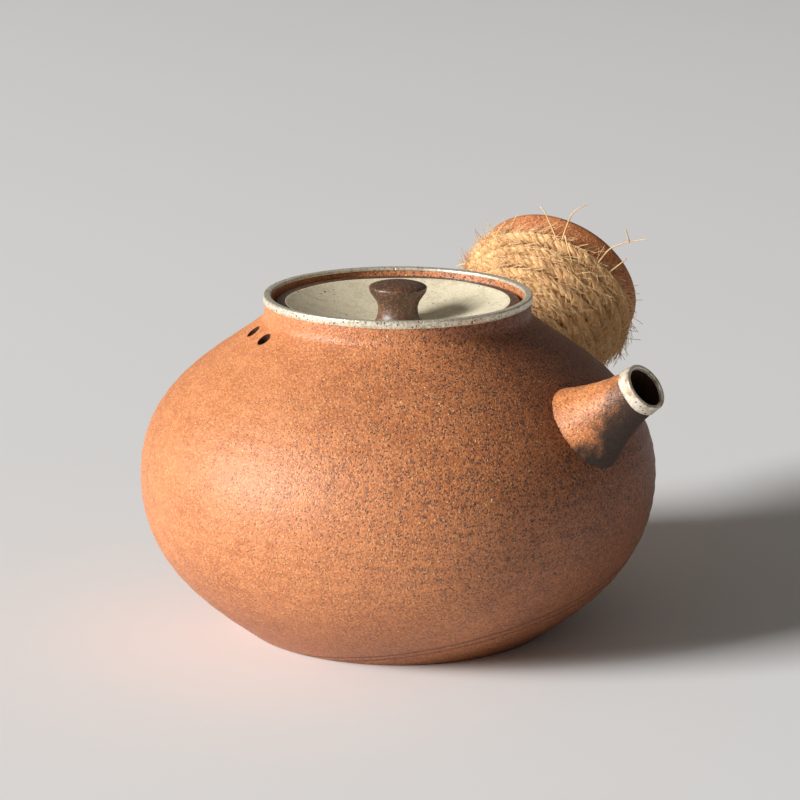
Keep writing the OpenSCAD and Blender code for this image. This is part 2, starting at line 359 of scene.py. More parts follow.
def add_node(kind, values, tree=None, **settings):
    """A new node, settings made before inputs, in a tree or else in that of the first socket fed."""
    if tree is None:
        tree = next(value.id_data for value in values.values() if is_socket(value))
    made = tree.nodes.new(kind)
    for label, value in settings.items():
        setattr(made, label, value)
    feed(made, values)
    return made


def calc(operation, *values, clamp=False):
    """A Math node on sockets or numbers."""
    sockets = dict(enumerate(values))
    return add_node("ShaderNodeMath", sockets, operation=operation, use_clamp=clamp).outputs[0]


def times(a, b):
    """A product of two sockets, or of a socket and a number."""
    return calc("MULTIPLY", a, b)


def vector_calc(operation, *values):
    """A Vector Math node on sockets or triples."""
    made = add_node("ShaderNodeVectorMath", dict(enumerate(values)), operation=operation)
    return made.outputs["Value" if operation in ("DOT_PRODUCT", "LENGTH") else "Vector"]


def scaled(vector, share):
    """A vector times a number, where one of them is a socket."""
    sockets = {0: vector, "Scale": share}
    return add_node("ShaderNodeVectorMath", sockets, operation="SCALE").outputs["Vector"]


def soft_step(value, low, high, bottom=0.0, top=1.0):
    """Bottom below low, top above high, smooth between. A low number may be above a high one."""
    edges = (low, high, bottom, top)
    if not is_socket(low) and low > high:
        edges = (high, low, top, bottom)
    sockets = dict(enumerate((value, *edges)))
    return add_node("ShaderNodeMapRange", sockets, interpolation_type="SMOOTHSTEP").outputs[0]


def blend_colour(share, a, b, kind="MIX"):
    """A colour mix of two sockets or RGB triples."""
    first, second = [(*colour, 1.0) if isinstance(colour, tuple) else colour for colour in (a, b)]
    sockets = {0: share, 6: first, 7: second}
    return add_node("ShaderNodeMix", sockets, data_type="RGBA", blend_type=kind).outputs[2]


def noise(where, scale, detail=2.0, rough=0.5):
    """A noise value on coordinates."""
    sockets = {"Vector": where, "Scale": scale, "Detail": detail, "Roughness": rough}
    return add_node("ShaderNodeTexNoise", sockets).outputs[0]


def cells(where, scale):
    """Cells round scattered middles: the distance from a middle, and two numbers of each cell's own."""
    made = add_node("ShaderNodeTexVoronoi", {"Vector": where, "Scale": scale})
    own = add_node("ShaderNodeSeparateColor", {0: made.outputs["Color"]})
    return made.outputs["Distance"], own.outputs[0], own.outputs[1]


def grains(where, scale, share, small, large):
    """Scattered round grains: a mask, one grain in each cell that its own number picks."""
    far, pick, grade = cells(where, scale)
    chosen = calc("LESS_THAN", pick, share)
    size = calc("MULTIPLY_ADD", grade, large - small, small)
    edge = soft_step(far, times(size, GRAIN_CORE), size)
    return times(calc("SUBTRACT", 1.0, edge), chosen)


def split(off, axis):
    """The run of a way along an axis, and what is left of the way square to that axis."""
    run = vector_calc("DOT_PRODUCT", off, axis)
    return run, vector_calc("SUBTRACT", off, scaled(axis, run))


def by_axis(where, place):
    """The way from a frame's middle, the run along its Z, and the distance from that line."""
    off = vector_calc("SUBTRACT", where, place.translation * MM)
    run, across = split(off, z_way(place))
    return off, run, vector_calc("LENGTH", across)


def shader_group(name, inputs, outputs):
    """An empty shader group with float inputs and outputs."""
    tree = bpy.data.node_groups.new(name, "ShaderNodeTree")
    for label, value in inputs.items():
        made = tree.interface.new_socket(name=label, in_out="INPUT", socket_type="NodeSocketFloat")
        made.default_value = value
    for label in outputs:
        tree.interface.new_socket(name=label, in_out="OUTPUT", socket_type="NodeSocketFloat")
    return tree, tree.nodes.new("NodeGroupInput").outputs, tree.nodes.new("NodeGroupOutput")


def object_place(tree):
    """Object coordinates."""
    return tree.nodes.new("ShaderNodeTexCoord").outputs["Object"]


# Sizes of the textures, in cells for each metre, and how far a streak is pulled along its fibre
GRIT_CELLS = 3000.0
SAND_CELLS = 950.0
IRON_CELLS = 1750.0
BEND_CELLS = 900.0
BROAD_CELLS = 32.0
CLOSE_CELLS = 260.0
CLOUD_CELLS = 30.0
WISP_CELLS = 170.0
HOLE_CELLS = 420.0
PRICK_CELLS = 1500.0
FRECKLE_CELLS = 2200.0
STAIN_CELLS = 380.0
PEEL_CELLS = 520.0
PATCH_CELLS = 190.0
STREAK_CELLS = 2300.0
STREAK_PULL = 0.16
FLOOR_CELLS = 3.0

# Grains: the share of each that is solid, how far a bend moves them, and what keeps two kinds apart
GRAIN_CORE = 0.55
BEND_REACH = 0.9 * MM
SAND_SHIFT = (0.37, 0.11, 0.23)
MID_GREY = (0.5, 0.5, 0.5)

# The ways that the flushing and the iron specks face, both turned from the lamp so that they add painted
# shade, and the spout's side turned from the lamp, which gets painted shade, square to its axis
FLUSH_SHADE_WAY = (0.92, 0.39, 0.0)
IRON_SHADE_WAY = (0.8, 0.6, 0.0)
SPOUT_SHADE_SIDE = (0.568, 0.35, -0.749)
BORE_SOFT = 0.3


def make_clay_grain():
    """Sandy stoneware: golden grains that stand proud, fine sand, iron specks and soft mottling."""
    tree, given, leave = shader_group(
        "clay_grain",
        {"Iron": 0.45, "Sand": 0.5, "Coarse": 1.0},
        ("Iron Specks", "Sand Grains", "Pale Grains", "Mottle", "Height"),
    )
    where = object_place(tree)
    moved = vector_calc("ADD", where, SAND_SHIFT)
    shift = add_node("ShaderNodeTexNoise", {"Vector": where, "Scale": BEND_CELLS})
    centred = vector_calc("SUBTRACT", shift.outputs["Color"], MID_GREY)
    bent = scaled(centred, BEND_REACH)
    far, sand_pick, iron_pick = cells(where, GRIT_CELLS)
    sand_cells = grains(vector_calc("ADD", moved, bent), SAND_CELLS, 0.85, 0.1, 0.25)
    large_sand = times(sand_cells, given["Coarse"])
    iron_cells = grains(vector_calc("ADD", where, bent), IRON_CELLS, 0.85, 0.18, 0.4)
    large_iron = times(iron_cells, given["Coarse"])
    fine_iron = soft_step(iron_pick, 0.6, 0.95, top=0.7)
    iron = calc("MAXIMUM", fine_iron, large_iron)
    broad = noise(where, BROAD_CELLS, 4.0, 0.6)
    close = noise(where, CLOSE_CELLS, 3.0, 0.55)
    pebbles = times(calc("SUBTRACT", 1.0, far), 0.25)
    proud = calc("MULTIPLY_ADD", large_sand, 0.8, pebbles)
    feed(leave, {
        "Iron Specks": times(iron, given["Iron"]),
        "Sand Grains": times(soft_step(sand_pick, 0.4, 0.95), given["Sand"]),
        "Pale Grains": large_sand,
        "Mottle": calc("MULTIPLY_ADD", close, 0.4, times(broad, 0.6)),
        "Height": calc("MULTIPLY_ADD", large_iron, 0.3, proud),
    })
    return tree


def make_kiln_smoke_and_shade():
    """Flushing on the wall, partly real and partly painted shade on the side turned from the lamp, with
    painted shade darker towards the foot; ragged soot under the spout, partly real and partly painted
    shade on its side turned from the lamp; painted shade in the spout's bore and the vents; iron specks
    gathered on the side turned from the lamp, partly painted shade.
    """
    tree, given, leave = shader_group(
        "kiln_smoke_and_shade", {"On Wall": 0.5, "On Spout": 0.5}, ("Flush And Shade", "Smoke And Shade", "Iron Shade Side")
    )
    where = object_place(tree)
    height = add_node("ShaderNodeSeparateXYZ", {0: where}).outputs["Z"]
    flat = vector_calc("MULTIPLY", where, (1.0, 1.0, 0.0))
    way_out = vector_calc("NORMALIZE", flat)
    cloud = calc("SUBTRACT", noise(where, CLOUD_CELLS, 4.0, 0.6), 0.5)
    # Flushing on the side turned from the lamp: partly real, partly painted shade.
    facing = vector_calc("DOT_PRODUCT", way_out, FLUSH_SHADE_WAY)
    ragged = calc("MULTIPLY_ADD", cloud, 0.8, facing)
    outside = soft_step(vector_calc("LENGTH", flat), MOUTH_R * MM, COLLAR_R * MM)
    beside = times(soft_step(ragged, 0.3, 1.0), outside)
    # Painted shade: darker towards the foot.
    low_edge = calc("MULTIPLY_ADD", cloud, 12.0 * MM, height)
    low = soft_step(low_edge, 26.0 * MM, 2.0 * MM, top=0.55)
    # Iron specks gather on the side turned from the lamp and thin out towards the foot: partly painted
    # shade.
    toward = vector_calc("DOT_PRODUCT", way_out, IRON_SHADE_WAY)
    drawn = calc("MULTIPLY_ADD", cloud, 0.6, toward)
    upper = soft_step(height, 8.0 * MM, 42.0 * MM, bottom=0.4)
    # Soot on the spout, stronger towards its tip: partly real, partly painted shade on the spout's side
    # turned from the lamp.
    off, run, from_axis = by_axis(where, ON_SPOUT)
    wisps = calc("SUBTRACT", noise(where, WISP_CELLS, 4.0, 0.62), 0.5)
    smoke_shade_reach = calc("MULTIPLY_ADD", wisps, 14.0 * MM, times(run, 0.36))
    edge = calc("ADD", smoke_shade_reach, vector_calc("DOT_PRODUCT", off, SPOUT_SHADE_SIDE))
    # Painted shade in the spout's bore.
    bore_shade = soft_step(from_axis, (SPOUT_BORE_R + BORE_SOFT) * MM, SPOUT_BORE_R * MM)
    smoked_and_shaded = calc("MAXIMUM", soft_step(edge, -2.0 * MM, 4.0 * MM), bore_shade)
    smoke_and_shade = times(smoked_and_shaded, given["On Spout"])
    # Painted shade in the bores of the vents.
    for vent in vent_places():
        off, run, from_axis = by_axis(where, vent)
        bore = soft_step(from_axis, (VENT_R + BORE_SOFT) * MM, VENT_R * MM)
        near = calc("LESS_THAN", vector_calc("LENGTH", off), 2 * WALL * MM)
        inside = times(times(bore, near), given["On Wall"])
        smoke_and_shade = calc("MAXIMUM", smoke_and_shade, inside)
    feed(leave, {
        "Flush And Shade": times(calc("MAXIMUM", beside, low), given["On Wall"]),
        "Smoke And Shade": smoke_and_shade,
        "Iron Shade Side": times(soft_step(drawn, -0.8, 0.4), upper),
    })
    return tree


def make_glaze_pits():
    """Silver glaze over coarse clay: pin-holes, dull freckles and a fine orange-peel."""
    tree, given, leave = shader_group(
        "glaze_pits", {"Pits": 0.3}, ("Pin Holes", "Freckle", "Stain", "Height")
    )
    where = object_place(tree)
    holes = grains(where, HOLE_CELLS, given["Pits"], 0.06, 0.19)
    pricks = grains(where, PRICK_CELLS, given["Pits"], 0.18, 0.4)
    pits = calc("MAXIMUM", holes, times(pricks, 0.8))
    freckle = noise(where, FRECKLE_CELLS, 2.0, 0.6)
    peel = times(noise(where, PEEL_CELLS), 0.5)
    feed(leave, {
        "Pin Holes": pits,
        "Freckle": freckle,
        "Stain": soft_step(noise(where, STAIN_CELLS, 4.0, 0.65), 0.47, 0.63),
        "Height": calc("MULTIPLY_ADD", freckle, 0.35, calc("SUBTRACT", peel, pits)),
    })
    return tree


def make_straw_tone():
    """Colour changes along dry plant fibre, from its own run along the twine."""
    tree, given, leave = shader_group("straw_tone", {"Streak": 1.0}, ("Tone", "Streaks"))
    where = object_place(tree)
    run = add_node("ShaderNodeAttribute", {}, tree, attribute_name="along").outputs["Fac"]
    pull = add_node("ShaderNodeCombineXYZ", {0: times(run, STREAK_PULL)})
    squeezed = vector_calc("ADD", where, pull.outputs[0])
    streak = noise(squeezed, STREAK_CELLS, 3.0, 0.7)
    feed(leave, {
        "Tone": noise(where, PATCH_CELLS, 3.0, 0.6),
        "Streaks": times(streak, given["Streak"]),
    })
    return tree


CLAY_GRAIN = make_clay_grain()
KILN_SMOKE_AND_SHADE = make_kiln_smoke_and_shade()
GLAZE_PITS = make_glaze_pits()
STRAW_TONE = make_straw_tone()

# Colours of the orange clay, whose flushing, soot and groove darkening also paint shade, the dark clay,
# the glaze's faults and the floor
CLAY_DEEP = (0.49, 0.157, 0.055)
CLAY_BRIGHT = (0.68, 0.25, 0.096)
CLAY_SAND = (0.85, 0.345, 0.125)
CLAY_GOLD = (1.0, 0.54, 0.25)
CLAY_IRON = (0.055, 0.045, 0.044)
FLUSH_AND_SHADE_TINT = (0.35, 0.27, 0.22)
SOOT_AND_SHADE = (0.008, 0.005, 0.003)
GROOVE_SHADOW = (0.07, 0.032, 0.018)
DARK_DEEP = (0.042, 0.02, 0.012)
DARK_BRIGHT = (0.1, 0.046, 0.025)
DARK_SAND = (0.4, 0.155, 0.058)
DARK_IRON = (0.04, 0.024, 0.018)
THIN_GLAZE = (0.40, 0.25, 0.14)
HOLE_SHADE = (0.12, 0.075, 0.045)
FLOOR_SHADE = (0.86, 0.855, 0.845)
FLOOR_LIGHT = (0.89, 0.885, 0.875)

# Trim cuts near the foot: height on the axis, slope along X and Y, half width
TRIM_CUTS = ((6.6, 0.147, 0.214, 0.42), (5.0, 0.140, 0.198, 0.34))
TRIM_DEPTH = 0.3


def new_material(name):
    """A material, its tree and its Principled shader."""
    made = bpy.data.materials.new(name)
    made.use_nodes = True
    return made, made.node_tree, made.node_tree.nodes["Principled BSDF"]


def use_group(tree, group, values):
    """The outputs of a group node with its own values."""
    return add_node("ShaderNodeGroup", values, tree, node_tree=group).outputs


def bump(height, strength, distance):
    """The normal of a relief from a height."""
    sockets = {"Height": height, "Strength": strength, "Distance": distance}
    return add_node("ShaderNodeBump", sockets).outputs[0]


def make_red_clay(name, flush_and_shade, smoke_and_shade, iron, light_and_shade_tint, shine):
    """Orange-brown stoneware with trim grooves near the foot and painted shade in them, flushing and soot
    that partly paint shade, and a colour factor that paints light on the whole spout and shade on the
    whole handle.
    """
    made, tree, shader = new_material(name)
    grain = use_group(tree, CLAY_GRAIN, {"Iron": iron, "Sand": 0.7, "Coarse": 1.0})
    kiln_and_shade = use_group(tree, KILN_SMOKE_AND_SHADE, {"On Wall": flush_and_shade, "On Spout": smoke_and_shade})
    where = object_place(tree)
    base = blend_colour(soft_step(grain["Mottle"], 0.3, 0.7), CLAY_DEEP, CLAY_BRIGHT)
    sanded = blend_colour(grain["Sand Grains"], base, CLAY_SAND)
    dotted = blend_colour(grain["Pale Grains"], sanded, CLAY_GOLD)
    # Iron specks gathered on the side turned from the lamp: partly painted shade.
    gathered = calc("MULTIPLY_ADD", kiln_and_shade["Iron Shade Side"], 0.9, 0.3)
    specks = calc("MULTIPLY", grain["Iron Specks"], gathered, clamp=True)
    specked = blend_colour(specks, dotted, CLAY_IRON)
    # Painted light on the spout and painted shade on the handle, as a factor on the whole colour.
    light_and_shade_tinted = blend_colour(1.0, specked, light_and_shade_tint, "MULTIPLY")
    # Flushing and soot from the group: partly painted shade.
    flushed_and_shaded = blend_colour(kiln_and_shade["Flush And Shade"], light_and_shade_tinted, FLUSH_AND_SHADE_TINT, "MULTIPLY")
    colour = blend_colour(kiln_and_shade["Smoke And Shade"], flushed_and_shaded, SOOT_AND_SHADE)
    # Painted shade in the trim grooves.
    for level, lean_x, lean_y, half in TRIM_CUTS:
        lean = vector_calc("DOT_PRODUCT", where, (-lean_x, -lean_y, 1.0))
        off = calc("ABSOLUTE", calc("SUBTRACT", lean, level * MM))
        groove_shade = soft_step(off, half * MM, 0.1 * half * MM, top=0.6)
        colour = blend_colour(groove_shade, colour, GROOVE_SHADOW)
    feed(shader, {
        "Base Color": colour,
        "Roughness": calc("MULTIPLY_ADD", grain["Mottle"], 0.25, 0.38),
        "Specular IOR Level": shine,
        "Normal": bump(grain["Height"], 0.8, 0.3 * MM),
    })
    return made


def make_dark_clay():
    """Dark fired stoneware of the lid and its knob."""
    made, tree, shader = new_material("dark_clay")
    grain = use_group(tree, CLAY_GRAIN, {"Iron": 0.6, "Sand": 0.5, "Coarse": 0.1})
    base = blend_colour(soft_step(grain["Mottle"], 0.3, 0.7), DARK_DEEP, DARK_BRIGHT)
    sanded = blend_colour(grain["Sand Grains"], base, DARK_SAND)
    feed(shader, {
        "Base Color": blend_colour(grain["Iron Specks"], sanded, DARK_IRON),
        "Roughness": calc("MULTIPLY_ADD", grain["Mottle"], 0.25, 0.32),
        "Specular IOR Level": 1.0,
        "Normal": bump(grain["Height"], 0.5, 0.1 * MM),
    })
    return made


def make_silver(name, pits, stain, rough, relief, metal, pale, dull):
    """Champagne-silver glaze: pitted, worn or satin. Rough is a least and a most."""
    made, tree, shader = new_material(name)
    glaze = use_group(tree, GLAZE_PITS, {"Pits": pits})
    base = blend_colour(soft_step(glaze["Freckle"], 0.35, 0.7), pale, dull)
    thin = times(glaze["Stain"], stain)
    stained = blend_colour(thin, base, THIN_GLAZE)
    feed(shader, {
        "Base Color": blend_colour(glaze["Pin Holes"], stained, HOLE_SHADE),
        "Roughness": soft_step(glaze["Freckle"], 0.2, 0.8, *rough),
        "Metallic": calc("MULTIPLY_ADD", glaze["Pin Holes"], -metal, metal),
        "Normal": bump(glaze["Height"], relief, 0.2 * MM),
    })
    return made


def make_straw(name, dark, mid, pale, rough, relief):
    """Dry jute, for the twine and for its loose hairs."""
    made, tree, shader = new_material(name)
    straw = use_group(tree, STRAW_TONE, {"Streak": 1.0})
    base = blend_colour(soft_step(straw["Tone"], 0.3, 0.7), dark, mid)
    feed(shader, {
        "Base Color": blend_colour(soft_step(straw["Streaks"], 0.42, 0.7), base, pale),
        "Roughness": rough,
        "Specular IOR Level": 0.25,
        "Sheen Weight": 0.15,
        "Sheen Roughness": 0.5,
        "Normal": bump(straw["Streaks"], relief, 0.25 * MM),
    })
    return made


def make_paper():
    """The pale floor."""
    made, tree, shader = new_material("pale_floor")
    tone = noise(object_place(tree), FLOOR_CELLS, 3.0, 0.5)
    colour = blend_colour(tone, FLOOR_SHADE, FLOOR_LIGHT)
    feed(shader, {"Base Color": colour, "Roughness": 0.85})
    return made


WALL_CLAY = make_red_clay(
    "wall_clay", flush_and_shade=0.85, smoke_and_shade=0.0, iron=0.95, light_and_shade_tint=(1.0, 1.0, 1.0), shine=0.6
)
# The spout's clay is a brighter copy of the wall's: painted light.
SPOUT_CLAY = make_red_clay(
    "spout_clay", flush_and_shade=0.0, smoke_and_shade=0.94, iron=0.5, light_and_shade_tint=(1.12, 1.14, 1.08), shine=0.5
)
# The handle's clay is a slightly darker copy of the wall's: painted shade.
HANDLE_CLAY = make_red_clay(
    "handle_clay", flush_and_shade=0.0, smoke_and_shade=0.0, iron=0.5, light_and_shade_tint=(0.88, 0.86, 0.83), shine=0.35
)
DARK_CLAY = make_dark_clay()
PITTED_SILVER = make_silver(
    "pitted_silver", pits=0.5, stain=0.2, rough=(0.22, 0.42), relief=1.0, metal=0.5,
    pale=(1.0, 0.94, 0.77), dull=(0.58, 0.49, 0.34),
)
WORN_SILVER = make_silver(
    "worn_silver", pits=0.16, stain=0.75, rough=(0.24, 0.40), relief=0.6, metal=0.35,
    pale=(1.0, 0.92, 0.78), dull=(0.78, 0.67, 0.50),
)
SATIN_SILVER = make_silver(
    "satin_silver", pits=0.08, stain=0.2, rough=(0.55, 0.70), relief=0.3, metal=0.2,
    pale=(1.0, 0.92, 0.69), dull=(0.88, 0.74, 0.48),
)
JUTE_TWINE = make_straw(
    "jute_twine", dark=(0.72, 0.37, 0.135), mid=(1.0, 0.595, 0.245), pale=(1.0, 0.79, 0.45),
    rough=0.75, relief=0.6,
)
JUTE_HAIR = make_straw(
    "jute_hair", dark=(0.74, 0.42, 0.175), mid=(0.96, 0.60, 0.28), pale=(1.0, 0.80, 0.47),
    rough=0.6, relief=0.1,
)
PAPER = make_paper()


# Unevenness of the hand-made forms. A wobble, an edge, an oval, a drift and a swell are waves of a depth,
# a rate and a shift, and a wobble's shift is for each millimetre of height. A ripple has no shift.
WOBBLES = ((0.10, 2, 0.13), (0.07, 3, -0.21))
RING_DEPTH = 0.05
RING_STEP = 2.7
EVEN_NECK_Z = 60.0
NECK_FADE = 8.0
FOOT_FADE = 3.0
TRIM_FADE = 1.5
SPOUT_RIPPLE = (0.03, 2.3)
HANDLE_RIPPLE = (0.05, 1.7)
SPOUT_EDGE = ((0.12, 2, 0.8), (0.07, 5, 0.0))
SEAM_EDGE = ((0.22, 5, 0.6), (0.14, 11, 0.0))
MOUTH_EDGE = ((0.07, 3, 0.4), (0.04, 8, 0.0))
DISH_EDGE = ((0.1, 2, 0.0), (0.06, 7, 1.0))
KNOB_OVAL = ((0.012, 2, 1.3),)
KNOB_RINGS = ((0.03, 5.5, 0.0),)
TWINE_DRIFT = ((0.16, 2.7, 0.5), (0.1, 9.1, 0.0))
TWINE_SWELL = ((0.09, 5.3, 0.0),)

# How far a luted piece's outside, its bore and its seam are sunk in the wall, and where to look for that
ROOT_SUNK = 0.9
BORE_SUNK = 0.3
SEAM_SUNK = 0.1
ROOT_REACH = (-16.0, 8.0)
THROAT_FLARE = 1.2
SEAM_T = 0.6
SEAM_OUT = 0.12

# The glaze that gathers round the knob, and a ring of points on the floor inside
POOL_DEPTH = 0.15
POOL_FADE = 0.7
FLOOR_RING_R = 12.0

# Radii of small roundings
SEAT_EDGE = 0.5
GLAZE_EDGE = 0.32
BORE_EDGE = 0.26
LID_EDGE = 0.5
LID_FOOT_EDGE = 0.35
FLANGE_EDGE = 0.6


# The thrown body

def body_place(angle, r, z):
    """The hand-made unevenness of the wall: throwing rings, a slow wobble and trim cuts."""
    above = min(1.0, max(0.0, (EVEN_NECK_Z - z) / NECK_FADE)) * min(1.0, z / FOOT_FADE)
    rings = RING_DEPTH * sin(2 * pi * z / RING_STEP + angle)
    slow = waves(angle, [(depth, rate, shift * z) for depth, rate, shift in WOBBLES])
    moved = r + above * (rings + slow)
    x = r * cos(angle)
    y = r * sin(angle)
    for level, lean_x, lean_y, half in TRIM_CUTS:
        off = (z - level - lean_x * x - lean_y * y) / half
        moved -= TRIM_DEPTH * min(1.0, z / TRIM_FADE) * exp(-off * off)
    return moved, z


def body_outline(angle):
    """The wall's whole section, from under the foot round the lip to the floor inside."""
    floor_at = seek(lambda u: curve_in(LOWER, u)[1], FLOOR_T)
    low_rows = 104
    high_rows = 56
    inner_rows = 20
    line = [(0.0, 0.0), (FOOT_R * 0.5, 0.0), (FOOT_R - 0.7, 0.0), (FOOT_R - 0.15, 0.12)]
    out = [curve(LOWER, t) for t in even(0.0, 1.0, low_rows)[1:]]
    out += [curve(UPPER, t) for t in even(0.0, 1.0, high_rows)[1:-1]]
    line += [body_place(angle, r, z) for r, z in out]
    turn = degrees(NECK_TURN)
    line += arc((COLLAR_R + NECK_FILLET, COLLAR_Z), NECK_FILLET, 180 + turn, 180, 8)
    line += arc(LIP_MID, LIP_R, 0, 180, 10)
    line += [(MOUTH_R, SEAT_Z + 0.4), (MOUTH_R - 0.4, SEAT_Z)]
    line += arc((SEAT_R + SEAT_EDGE, SEAT_Z - SEAT_EDGE), SEAT_EDGE, 90, 180, 4)
    line += arc((SEAT_R + SEAT_EDGE, SEAT_Z - SEAT_T + SEAT_EDGE), SEAT_EDGE, 180, 250, 3)
    line += [curve_in(UPPER, t) for t in even(1.0, 0.0, inner_rows)[:-1]]
    line += [curve_in(LOWER, t) for t in even(1.0, floor_at, inner_rows)]
    line += [(FLOOR_RING_R, FLOOR_T), (0.0, FLOOR_T)]
    return line


def drill(name, places, r, long):
    """Round cutters, each along its own frame's Z."""
    work = bmesh.new()
    for place in places:
        bmesh.ops.create_cone(
            work, cap_ends=True, segments=32, radius1=r, radius2=r, depth=long, matrix=place
        )
    mesh = bpy.data.meshes.new(name)
    work.to_mesh(mesh)
    work.free()
    mesh.transform(Matrix.Scale(MM, 4))
    return put(name, mesh)


def made_mesh(source):
    """The mesh that an object's modifiers make, taken as a plain one. The modifiers then go."""
    graph = bpy.context.evaluated_depsgraph_get()
    mesh = bpy.data.meshes.new_from_object(source.evaluated_get(graph), depsgraph=graph)
    source.modifiers.clear()
    return mesh


def cut_holes(piece, cutters):
    """Takes the cutters out of a piece and keeps the result as its plain mesh."""
    for cutter in cutters:
        step = piece.modifiers.new(cutter.name, "BOOLEAN")
        step.operation = "DIFFERENCE"
        step.solver = "EXACT"
        step.object = cutter
    mesh = made_mesh(piece)
    old = piece.data
    piece.data = mesh
    mesh.name = piece.name
    bpy.data.meshes.remove(old)
    for cutter in cutters:
        bpy.data.objects.remove(cutter)
    shade(mesh, TURNED_EDGE)


def strain_places():
    """The frames of the strainer holes behind the spout, one in the middle of six."""
    turns = [pi * k / 3 for k in range(6)]
    spread = [(0.0, 0.0)]
    spread += [(STRAIN_STEP * cos(turn), STRAIN_STEP * sin(turn)) for turn in turns]
    return [ON_SPOUT @ Matrix.Translation((x, y, 0)) for x, y in spread]


def make_body():
    """The thrown body with its vents and strainer holes."""
    body = lathe("thrown_body", body_outline, WALL_CLAY, segments=264)
    vents = drill("vent_cutter", vent_places(), VENT_R, 4 * WALL)
    strainer = drill("strainer_cutter", strain_places(), STRAIN_R, 6 * WALL)
    cut_holes(body, [vents, strainer])
    return body


# The luted spout and handle

def spout_r(run):
    """Radius of the spout's clay at a place on its axis."""
    back = max(0.0, SPOUT_LEN - GLAZE_T - run)
    return SPOUT_TIP_R + (SPOUT_ROOT_R - SPOUT_TIP_R) * (back / (SPOUT_LEN + WALL)) ** SPOUT_FLARE


def handle_r(run):
    """Radius of the handle's clay at a place on its axis."""
    share = max(0.0, run) / (HANDLE_LEN - HANDLE_WALL / 2)
    return HANDLE_ROOT_R + (HANDLE_END_R - HANDLE_ROOT_R) * share ** HANDLE_FLARE


def root_run(place, radius, angle, sunk):
    """Where a luted tube's side has sunk this far under the body's wall."""
    def clear(run):
        at = around(place, radius(run), angle, run)
        return hypot(at.x, at.y) - wall_r(min(max(at.z, 0.0), NECK_END[1]))
    return seek(clear, -sunk, *ROOT_REACH)


def luted_side(place, radius, angle, end, rows, ripple):
    """The outside of a luted tube from the wall to its end, with the ripples of its throwing."""
    depth, rate = ripple
    start = root_run(place, radius, angle, ROOT_SUNK)
    runs = even(start, end, rows)
    return [(radius(run) + depth * sin(run * rate + angle), run) for run in runs]


def spout_outline(angle):
    """The spout's section: outside from the wall to the tip, then the bore back to the wall."""
    end = SPOUT_LEN - GLAZE_T
    turn = SPOUT_LEN - SPOUT_BORE_LEN
    throat = root_run(ON_SPOUT, lambda run: SPOUT_BORE_R + THROAT_FLARE, angle, BORE_SUNK)
    rows = 6
    line = luted_side(ON_SPOUT, spout_r, angle, end, 36, SPOUT_RIPPLE)
    line += [(SPOUT_BORE_R, run) for run in even(end, turn, rows)]
    shares = even(0.0, 1.0, rows)[1:]
    line += [(SPOUT_BORE_R + THROAT_FLARE * share, turn + (throat - turn) * share) for share in shares]
    return line


def spout_band_outline(angle):
    """The glaze on the spout's tip, with an uneven lower edge."""
    wide = SPOUT_BAND_W + waves(angle, SPOUT_EDGE)
    end = SPOUT_LEN - GLAZE_T
    low = end - wide
    low_r = spout_r(low)
    line = [(low_r - 0.05, low), (low_r + 0.12, low + 0.02), (low_r + GLAZE_T, low + 0.12)]
    line += [(spout_r(end - wide * k) + GLAZE_T, end - wide * k) for k in (0.8, 0.6, 0.4, 0.2)]
    outer = (SPOUT_TIP_R + GLAZE_T - GLAZE_EDGE, SPOUT_LEN - GLAZE_EDGE)
    line += arc(outer, GLAZE_EDGE, 0, 90, 6)
    line += arc((SPOUT_BORE_R + BORE_EDGE, SPOUT_LEN - BORE_EDGE), BORE_EDGE, 90, 180, 5)
    line += [(SPOUT_BORE_R - 0.02, end - 0.5), (SPOUT_BORE_R + 0.1, end - 0.55)]
    return line


def handle_bore_r(run):
    """Radius of the handle's bore at a place on its axis."""
    return handle_r(run) - HANDLE_WALL


def handle_outline(angle):
    """The handle's section: outside from the wall, round the lip, and the bore back to the wall."""
    lip = HANDLE_WALL / 2
    end = HANDLE_LEN - lip
    inner = root_run(ON_HANDLE, handle_bore_r, angle, BORE_SUNK)
    rows = 16
    line = luted_side(ON_HANDLE, handle_r, angle, end, 32, HANDLE_RIPPLE)
    line += arc((HANDLE_END_R - lip, end), lip, 12, 168, 12)
    return line + [(handle_bore_r(run), run) for run in even(end, inner, rows)]


def seam(name, place, radius, thick):
    """The soft bead of slip where a luted piece meets the wall."""
    steps = 120
    line = []
    for i in range(steps):
        angle = 2 * pi * i / steps
        run = root_run(place, radius, angle, SEAM_SUNK)
        point = around(place, radius(run) + SEAM_OUT, angle, run)
        line.append((point, thick * (1 + waves(angle, SEAM_EDGE))))
    mesh = tube_mesh(name, [line], sides=10, closed=True)
    return plain_object(name, mesh, HANDLE_CLAY)


# The glazed mouth

def mouth_band_outline(angle):
    """The glaze over the lip: an uneven lower edge, a crisp outer corner and a level top."""
    low = MOUTH_BAND_Z + waves(angle, MOUTH_EDGE)
    out = COLLAR_R + GLAZE_T
    inner = MOUTH_R - GLAZE_T / 2
    line = [(COLLAR_R - 0.05, low), (COLLAR_R + 0.12, low - 0.01)]
    line += [(out, low + 0.1), (out, (low + RIM_Z) / 2)]
    line += arc((out - GLAZE_EDGE, RIM_Z - GLAZE_EDGE), GLAZE_EDGE, 0, 90, 6)
    line += arc((inner + GLAZE_EDGE, RIM_Z - GLAZE_EDGE - 0.06), GLAZE_EDGE, 90, 180, 6)
    line += [(inner, LIP_MID[1] + 0.25), (MOUTH_R + 0.25, LIP_MID[1] + 0.1)]
    return line


# The lid

def dish_z(r, below):
    """Height of the dish, or of a layer this far below it."""
    return DISH_MID_Z - sqrt((DISH_BALL + below) ** 2 - r * r)


